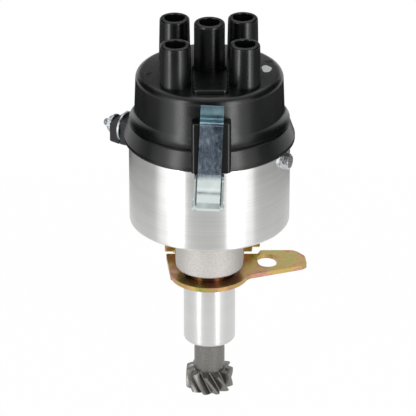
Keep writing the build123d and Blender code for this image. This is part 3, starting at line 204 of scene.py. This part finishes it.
def turned_aluminium():
    """Cast aluminium turned in a lathe: fine rings that draw the light out upright. The neck is left
    as it was cast, dull and gritty. Below the neck, inside the clamp, the metal gets painted shade in
    dark brown, which also stands for a painted reflection of the clamp's brown wall."""
    material, tree, place = start_finish("turned_aluminium")
    rings = grain(tree, place, 0.9 * MM, stretch=(400, 400, 1), detail=3.0, roughness=0.6)
    broad = grain(tree, place, 9 * MM, stretch=(60, 60, 1), detail=1.0)
    cloud = grain(tree, place, 22 * MM)
    grit = grain(tree, place, 0.7 * MM, detail=3.0, roughness=0.7)
    level = add(tree, "SeparateXYZ", (place,))["Z"]
    neck = within(tree, level, NECK_FOOT, NECK_TOP)
    painted_shade = within(tree, level, PAINTED_SHADE_FOOT, PAINTED_SHADE_TOP)
    greys = [(0.3, "#d3d3d2"), (0.5, "#dadad8"), (0.7, "#e0e0de")]
    turned = add(tree, "ValToRGB", (rings,), greys)[0]
    turned = tinted(tree, turned, "#bcbcba", broad, (0.4, 0.65), (0.0, 0.25))
    turned = tinted(tree, turned, "#b4b5b4", cloud, (0.45, 0.7), (0.0, 0.16))
    turned = tinted(tree, turned, "#c8c8c6", level, PILOT_TOP, (0.5, 0.0))
    duller = [(0.3, "#aeaba7"), (0.55, "#c0bdb9"), (0.8, "#cecbc8")]
    cast = add(tree, "ValToRGB", (grit,), duller)[0]
    colour = tinted(tree, turned, cast, neck, (0.0, 1.0), (0.0, 1.0))
    # Painted shade in dark brown in the gap between the clamp and the neck's foot, also standing for
    # a painted reflection of the clamp's brown wall.
    colour = tinted(tree, colour, "#54382a", painted_shade, (0.0, 1.0), (0.0, 1.0))
    smooth = add(tree, "MapRange", (rings, *MIDDLE, 0.28, 0.33))[0]
    rougher = add(tree, "MapRange", (neck, 0.0, 1.0, 0.0, 0.4))[0]
    roughness = add(tree, "Math", (smooth, rougher), operation="ADD")[0]
    more = {
        "Anisotropic": add(tree, "MapRange", (neck, 0.0, 1.0, 0.8, 0.1))[0],
        "Anisotropic Rotation": 0.25,
        "Tangent": add(tree, "Tangent", direction_type="RADIAL", axis="Z")["Tangent"],
    }
    end_finish(tree, 1.0, colour, roughness, rings, 0.003 * MM, 0.25, more)
    return material


def satin_phenolic():
    """Black phenolic moulding: satin skin with a faint grain, and slight flow marks from the mould
    that soften its shine in places."""
    material, tree, place = start_finish("satin_phenolic")
    skin = grain(tree, place, 0.6 * MM, detail=4.0, roughness=0.6)
    flow = grain(tree, place, 14 * MM, stretch=(1, 1, 2.5))
    blacks = [(0.25, "#060607"), (0.55, "#0a0b0c"), (0.85, "#121314")]
    colour = add(tree, "ValToRGB", (skin,), blacks)[0]
    colour = tinted(tree, colour, "#131416", flow, (0.45, 0.75), (0.0, 0.35))
    roughness = add(tree, "MapRange", (flow, *MIDDLE, 0.25, 0.32))[0]
    end_finish(tree, 0.0, colour, roughness, skin, 0.018 * MM, 0.5, {"Specular IOR Level": 0.34})
    return material


def dull_phenolic():
    """Black moulded insulator: rougher than the cap, grey where it is worn."""
    material, tree, place = start_finish("dull_phenolic")
    skin = grain(tree, place, 0.6 * MM, detail=3.0, roughness=0.6)
    blacks = [(0.3, "#0c0d0d"), (0.6, "#131414"), (0.85, "#1e1f1f")]
    colour = add(tree, "ValToRGB", (skin,), blacks)[0]
    end_finish(tree, 0.0, colour, 0.45, skin, 0.04 * MM, 0.5, {"Specular IOR Level": 0.3})
    return material


def blue_zinc():
    """Bright zinc with a blue chromate dip: pale mint at the hinge, slate with a spangle of darker
    and paler grains along the strip, a painted highlight as a pale band at the bend above the
    strip, and teal at the tab."""
    material, tree, place = start_finish("blue_zinc")
    cloud = grain(tree, place, 7 * MM, stretch=(1, 1, 1.8), detail=3.0, roughness=0.6)
    fine = grain(tree, place, 0.5 * MM, stretch=(1, 1, 14), roughness=0.6)
    spangle = grain(tree, place, 1.7 * MM, stretch=(1, 1, 1.3), detail=3.0, roughness=0.65)
    drift = add(tree, "MapRange", (cloud, *MIDDLE, -0.8 * MM, 0.8 * MM))[0]
    height = add(tree, "SeparateXYZ", (place,))["Z"]
    level = add(tree, "Math", (height, drift), operation="ADD")[0]
    along = add(tree, "MapRange", (level, *ZINC_SPAN, 0.0, 1.0))[0]
    hues = [
        (0.0, "#cfdbd8"),
        (0.36, "#dbe6e4"),
        (0.41, "#6f7d8b"),
        (0.62, "#606e7c"),
        (0.85, "#5a6a78"),
        # Painted highlight: a pale band at the bend between the strip and the tab.
        (0.885, "#8cb0bc"),
        (1.0, "#54707a"),
    ]
    colour = add(tree, "ValToRGB", (along,), hues)[0]
    strip = within(tree, level, STRIP_FOOT, STRIP_TOP)
    darker = ("#3f4e62", (0.36, 0.5), (0.65, 0.0))
    paler = ("#a2b0be", (0.54, 0.68), (0.0, 0.6))
    for tint, span, shares in (darker, paler):
        grains = add(tree, "MapRange", (spangle, *span, *shares))[0]
        grains = add(tree, "Math", (strip, grains), operation="MULTIPLY")[0]
        colour = tinted(tree, colour, tint, grains, (0.0, 1.0), (0.0, 1.0))
    colour = tinted(tree, colour, "#e2e8ea", fine, (0.4, 0.7), (0.0, 0.12))
    roughness = add(tree, "MapRange", (cloud, *MIDDLE, 0.24, 0.4))[0]
    end_finish(tree, 1.0, colour, roughness, fine, 0.01 * MM, 0.5)
    return material


def yellow_chromate():
    """Zinc plate with a yellow chromate dip: gold with a pink and green bloom that drifts over the
    sheet, and painted shade in dark brown on the clamp's inner wall, down in the bore."""
    material, tree, place = start_finish("yellow_chromate")
    drift = grain(tree, place, 9 * MM, detail=2.5, roughness=0.6)
    fine = grain(tree, place, 1.1 * MM, detail=3.0, roughness=0.6)
    bloom = [
        (0.28, "#8c9c58"),
        (0.4, "#ab9a4e"),
        (0.5, "#b8985a"),
        (0.6, "#b37c6e"),
        (0.74, "#9a7f72"),
    ]
    colour = add(tree, "ValToRGB", (drift,), bloom)[0]
    colour = tinted(tree, colour, "#cdbd88", fine, (0.42, 0.7), (0.0, 0.3))
    flat = add(tree, "VectorMath", (place, (1, 1, 0)), operation="MULTIPLY")["Vector"]
    reach = add(tree, "VectorMath", (flat,), operation="LENGTH")["Value"]
    # Painted shade: dark brown on the clamp's inner wall, down in the bore under the neck.
    colour = tinted(tree, colour, "#5c301c", reach, PAINTED_WALL_SHADE, (0.75, 0.0))
    roughness = add(tree, "MapRange", (drift, *MIDDLE, 0.26, 0.42))[0]
    end_finish(tree, 1.0, colour, roughness, fine, 0.01 * MM, 0.4)
    return material


def steel(name, dark, light, rough, size, stretch=(1, 1, 1)):
    """Metal with the marks its making left: noise of a size in millimetres between two tones, a
    little smoother where dark and rougher where light."""
    material, tree, place = start_finish(name)
    marks = grain(tree, place, size * MM, stretch=stretch, detail=3.0, roughness=0.6)
    colour = add(tree, "ValToRGB", (marks,), [(0.3, dark), (0.7, light)])[0]
    roughness = add(tree, "MapRange", (marks, *MIDDLE, rough - 0.06, rough + 0.08))[0]
    end_finish(tree, 1.0, colour, roughness, marks, 0.008 * MM, 0.5)
    return material


def plain(name, dark, light, rough, size=0.6, depth=0.02):
    """Dull stuff such as felt, fibre, carbon or paint: a fine mottle in two tones, with a little
    relief. Size and depth are in millimetres."""
    material, tree, place = start_finish(name)
    marks = grain(tree, place, size * MM, detail=4.0, roughness=0.65)
    colour = add(tree, "ValToRGB", (marks,), [(0.3, dark), (0.7, light)])[0]
    end_finish(tree, 0.0, colour, rough, marks, depth * MM, 0.6)
    return material


def dress(nodes):
    """Gives every CAD node its finish, and gives the finishes by node."""
    lathe = (30, 30, 1)  # marks drawn out round the axis
    table = (
        (turned_aluminium(), "housing"),
        (satin_phenolic(), "distributor_cap rotor"),
        (dull_phenolic(), "terminal_bush terminal_inner_block terminal_outer_block"),
        (
            blue_zinc(),
            "front_clip front_clip_bracket front_clip_pin rear_clip rear_clip_bracket rear_clip_pin"
            " clip_rivets",
        ),
        # Zinc plated screws: the brightest steel, with small clean highlights.
        (steel("zinc_plated_screw", "#c3c7ca", "#e6e8ea", 0.28, 0.8), "side_screws plate_screws"),
        # Plated stud, washers and nut, handled and dulled: soft grey highlights.
        (
            steel("dull_zinc_plated_stud", "#8e9397", "#b8bcbf", 0.36, 0.8),
            "terminal_stud terminal_washers terminal_nut",
        ),
        (yellow_chromate(), "clamp_plate clamp_bolt clamp_washer clamp_nut"),
        # Cut steel gear under a film of oil: warm grey, wide soft highlights.
        (steel("oiled_gear_steel", "#6c6a67", "#878580", 0.42, 0.7), "drive_gear"),
        # Blued spring steel: nearly black with a cold edge.
        (
            steel("blued_spring_steel", "#2e3033", "#484b4f", 0.36, 0.5),
            "gear_roll_pin weight_clips cam_retaining_clip arm_clip",
        ),
        # Ground steel: sharp highlights drawn out by the grinding marks round the axis.
        (
            steel("ground_steel", "#8d9092", "#b4b6b8", 0.24, 0.5, lathe),
            "thrust_washers drive_shaft weight_pivot_pins pivot_post breaker_cam",
        ),
        # Pressed and plated sheet: light grey, even.
        (
            steel("pressed_plated_steel", "#a8abae", "#cfd1d3", 0.34, 1.0),
            "weight_plate cam_plate breaker_plate contact_bracket condenser_strap breaker_arm"
            " condenser",
        ),
        # Sintered steel: dark and dull, with fine pores.
        (steel("sintered_steel", "#6c6e70", "#8f9193", 0.45, 0.4), "weight_a weight_b"),
        # Drawn spring wire and strip: mid grey, fairly bright.
        (
            steel("spring_wire", "#7a7d80", "#a3a6a8", 0.28, 0.4),
            "advance_springs breaker_spring brush_spring",
        ),
        # Bronze that holds oil: brown, dull.
        (steel("oil_bronze", "#7a5a3a", "#a07b50", 0.42, 0.4), "upper_bush lower_bush"),
        # Rolled brass strip: yellow, fairly bright.
        (steel("rolled_brass", "#b08d4a", "#d4b26a", 0.28, 0.9), "rotor_blade"),
        # Polished tungsten contacts: dark grey, the smoothest metal.
        (steel("polished_tungsten", "#6a6c70", "#8e9095", 0.2, 0.3), "fixed_contact arm_contact"),
        # Oiled felt: straw coloured, with no shine.
        (plain("oiled_felt", "#8f8460", "#c2b78f", 0.9, 0.5, 0.15), "cam_felt"),
        # Laminated fibre: red brown, half dull.
        (plain("laminated_fibre", "#5a3520", "#7d4d30", 0.55, 0.6, 0.03), "rubbing_block"),
        # Pressed carbon: black, with a slight shine.
        (plain("pressed_carbon", "#141414", "#2a2a2b", 0.5, 0.4), "carbon_brush"),
        # Black sleeving over the condenser's lead.
        (plain("black_sleeving", "#111112", "#1f1f21", 0.45, 0.8), "condenser_lead"),
        # Turned and plated inserts in the cap: bright, with turning marks round the axis.
        (
            steel("turned_insert", "#a9acae", "#d0d2d4", 0.25, 0.5, lathe),
            "tower_inserts centre_insert",
        ),
    )
    finishes = {node: finish for finish, names in table for node in names.split()}
    for name, obj in nodes.items():
        obj.data.materials.clear()
        obj.data.materials.append(finishes[name])
    return finishes


def placed(name, data):
    """A new object in the scene, at the origin."""
    obj = bpy.data.objects.new(name, data)
    bpy.context.scene.collection.objects.link(obj)
    return obj


def full_turn(sides):
    """Angles of a number of points spaced evenly round a circle."""
    return np.linspace(0, 2 * math.pi, sides + 1)[:-1]


def surface(name, grid, closed_round, body, material):
    """A piece from rows of points: quads between neighbouring rows, closed round each row if asked.
    It rides a body, and its object stays at the origin."""
    rows, columns = grid.shape[:2]
    last = columns if closed_round else columns - 1
    i, j = np.meshgrid(np.arange(rows - 1), np.arange(last), indexing="ij")
    k = (j + 1) % columns
    near, far = i * columns, (i + 1) * columns
    quads = np.stack([near + j, near + k, far + k, far + j], -1)
    mesh = bpy.data.meshes.new(name)
    mesh.from_pydata(grid.reshape(-1, 3).tolist(), [], quads.reshape(-1, 4).tolist())
    mesh.validate()
    mesh.shade_smooth()
    mesh.materials.append(material)
    obj = placed(name, mesh)
    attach(obj, body)


def screw_thread(name, start, axis, length, core, crest, pitch, body, material):
    """Thread round a plain end: radius = core + (crest - core) * (1 - |2 f - 1|), where f is the
    fraction of (distance / pitch - angle / turn), fading to the core at both ends. Millimetres."""
    axis = Vector(axis).normalized()
    side = axis.orthogonal().normalized()
    across = axis.cross(side)
    along = np.linspace(0, length, int(length / pitch * THREAD_ROWS) + 1)
    s, t = np.meshgrid(along, full_turn(THREAD_SIDES), indexing="ij")
    fraction = np.mod(s / pitch - t / (2 * math.pi), 1.0)
    fade = np.clip(np.minimum(s, length - s) / (THREAD_FADE * pitch), 0, 1)
    radius = core + (crest - core) * (1 - np.abs(2 * fraction - 1)) * fade
    grid = (
        np.array(start)
        + s[..., None] * np.array(axis)
        + (radius * np.cos(t))[..., None] * np.array(side)
        + (radius * np.sin(t))[..., None] * np.array(across)
    )
    surface(name, grid * MM, True, body, material)


def roof_heights(cap, x, y):
    """Heights of the cap's roof under points, in metres, by rays straight down."""

    def drop(a, b):
        hit, point, _, _ = cap.ray_cast(Vector((a, b, ABOVE_CAP)), Vector((0, 0, -1)))
        assert hit
        return point.z

    return np.vectorize(drop)(x, y)


def paint_dot(cap, paint):
    """Paint dot: an ellipse with its half sizes times 1 + 0.07 sin(3 t + 1) + 0.04 sin(5 t), which
    gives it a brushed edge. It stands up from the roof by edge + rise (1 - r^4)."""
    r, t = np.meshgrid(np.linspace(0, 1, DOT_RINGS), full_turn(DOT_SIDES), indexing="ij")
    edge = 1 + 0.07 * np.sin(3 * t + 1) + 0.04 * np.sin(5 * t)
    x = (DOT_CENTRE[0] + DOT_HALF[0] * r * edge * np.cos(t)) * MM
    y = (DOT_CENTRE[1] + DOT_HALF[1] * r * edge * np.sin(t)) * MM
    z = roof_heights(cap, x, y) + (DOT_EDGE + DOT_RISE * (1 - r**4)) * MM
    surface("paint_dot", np.stack([x, y, z], -1), True, "housing", paint)


def roof_ticks(cap, moulding):
    """Moulded ticks: small bars turned on the roof, that stand up by rise (1 - u^4) (1 - v^2)."""
    across, along = np.linspace(-1, 1, TICK_COLUMNS), np.linspace(-1, 1, TICK_ROWS)
    u, v = np.meshgrid(across, along, indexing="ij")
    for name, centre, turn in TICKS:
        x = (centre[0] + TICK_HALF[0] * u * math.cos(turn) - TICK_HALF[1] * v * math.sin(turn)) * MM
        y = (centre[1] + TICK_HALF[0] * u * math.sin(turn) + TICK_HALF[1] * v * math.cos(turn)) * MM
        z = roof_heights(cap, x, y) + TICK_RISE * (1 - u**4) * (1 - v**2) * MM
        surface(name, np.stack([x, y, z], -1), False, "housing", moulding)


def seen_or_mirrored(tree):
    """1 for rays from the camera and for those in a mirror or through glass, else 0."""
    path = add(tree, "LightPath")
    seen = add(tree, "Math", (path["Is Camera Ray"], path["Is Glossy Ray"]), operation="MAXIMUM")[0]
    return add(tree, "Math", (seen, path["Is Transmission Ray"]), operation="MAXIMUM")[0]


def stage_floor():
    """Round table top below the gear: matt white that keeps the object's shadow, and shows white."""
    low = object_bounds()[0].z - FLOOR_GAP
    turn = full_turn(FLOOR_SIDES)
    rim = [(FLOOR_RADIUS * math.cos(t), FLOOR_RADIUS * math.sin(t), low) for t in turn]
    mesh = bpy.data.meshes.new("floor")
    mesh.from_pydata(rim, [], [range(len(rim))])
    material = bpy.data.materials.new("white_floor")
    tree = emptied(material)
    matt = add(tree, "BsdfDiffuse", {"Color": "#f2f2f2"})[0]
    white = add(tree, "Emission", {"Color": WHITE, "Strength": 1.0})[0]
    share = add(tree, "Math", (seen_or_mirrored(tree), FLOOR_WHITE), operation="MULTIPLY")[0]
    add(tree, "OutputMaterial", (add(tree, "MixShader", (share, matt, white))[0],))
    mesh.materials.append(material)
    floor = placed("floor", mesh)


def black_cards():
    """Black and grey cards in arcs round the table, which keep the polished black moulding dark, as
    a photographer's flags do. The camera looks through them."""
    for name, azimuths, radius, heights, shade in CARDS:
        material = bpy.data.materials.new(name)
        tree = emptied(material)
        matt = add(tree, "BsdfDiffuse", {"Color": shade})[0]
        clear = add(tree, "BsdfTransparent")[0]
        seen = add(tree, "LightPath")["Is Camera Ray"]
        add(tree, "OutputMaterial", (add(tree, "MixShader", (seen, matt, clear))[0],))
        turn = np.radians(np.linspace(*azimuths, CARD_POINTS))
        points = [
            (radius * math.sin(t) * MM, -radius * math.cos(t) * MM, z * MM)
            for z in heights
            for t in turn
        ]
        faces = [(i, i + 1, CARD_POINTS + i + 1, CARD_POINTS + i) for i in range(CARD_POINTS - 1)]
        mesh = bpy.data.meshes.new(name)
        mesh.from_pydata(points, [], faces)
        mesh.materials.append(material)
        card = placed(name, mesh)


def pale_room():
    """World: pale grey light from all round, which the camera and mirrors see as white."""
    world = bpy.data.worlds.new("pale_room")
    bpy.context.scene.world = world
    tree = emptied(world)
    room = add(tree, "Background", {"Color": "#f0f2f4", "Strength": ROOM_LIGHT})[0]
    white = add(tree, "Background", {"Color": WHITE, "Strength": 1.0})[0]
    add(tree, "OutputWorld", (add(tree, "MixShader", (seen_or_mirrored(tree), room, white))[0],))


def aim_at(obj, target):
    """Turns a lamp or camera so that it looks at a point, upright."""
    obj.rotation_euler = (Vector(target) - obj.location).to_track_quat("-Z", "Y").to_euler()


def soft_boxes():
    """Two tall soft boxes at the front quarters with a wing beside each, and one box overhead."""
    aim = np.array(LAMP_AIM)
    for name, azimuth, elevation, distance, size, power in LAMPS:
        a, e = math.radians(azimuth), math.radians(elevation)
        back = np.array((math.sin(a) * math.cos(e), -math.cos(a) * math.cos(e), math.sin(e)))
        lamp = bpy.data.lights.new(name, "AREA")
        lamp.shape = "RECTANGLE"
        lamp.size, lamp.size_y = size
        lamp.energy = power
        obj = placed(name, lamp)
        obj.location = aim + back * distance
        aim_at(obj, LAMP_AIM)


def camera():
    """Camera where the photograph was taken from: about 26 degrees up, far off, with a long lens.
    It aims at the axis, at CAMERA_AIM."""
    data = bpy.data.cameras.new("camera")
    data.lens, data.sensor_width = LENS_MM, SENSOR_MM
    data.shift_x = SHIFT_PX / PICTURE_PX
    data.clip_start, data.clip_end = CLIP_START, CLIP_END
    obj = placed("camera", data)
    back, up = math.cos(CAMERA_ELEVATION), math.sin(CAMERA_ELEVATION)
    obj.location = (0, -CAMERA_DISTANCE * back, CAMERA_AIM + CAMERA_DISTANCE * up)
    aim_at(obj, (0, 0, CAMERA_AIM))
    bpy.context.scene.camera = obj


finishes = dress(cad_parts)
screw_thread(
    "stud_thread",
    start=(STUD_REACH * STUD_OUT[0], STUD_REACH * STUD_OUT[1], STUD_HEIGHT),
    axis=STUD_OUT,
    length=3.0,
    core=1.7,
    crest=2.02,
    pitch=0.7,
    body="housing",
    material=finishes["terminal_stud"],
)
screw_thread(
    "bolt_thread",
    start=(23.7, 27.5, 6.5),
    axis=(1, 0, 0),
    length=3.8,
    core=3.0,
    crest=3.2,
    pitch=1.0,
    body="clamp",
    material=finishes["clamp_bolt"],
)
# Old paint: off white, dull. Moulded marks: as black as the cap, but duller.
paint_dot(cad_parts["distributor_cap"], plain("grey_white_paint", "#d2d6d2", "#eceeeb", 0.5))
roof_ticks(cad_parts["distributor_cap"], plain("moulded_mark", "#050505", "#0b0b0b", 0.6))
stage_floor()
black_cards()
pale_room()
soft_boxes()
camera()
bpy.context.scene.view_settings.view_transform = "Standard"
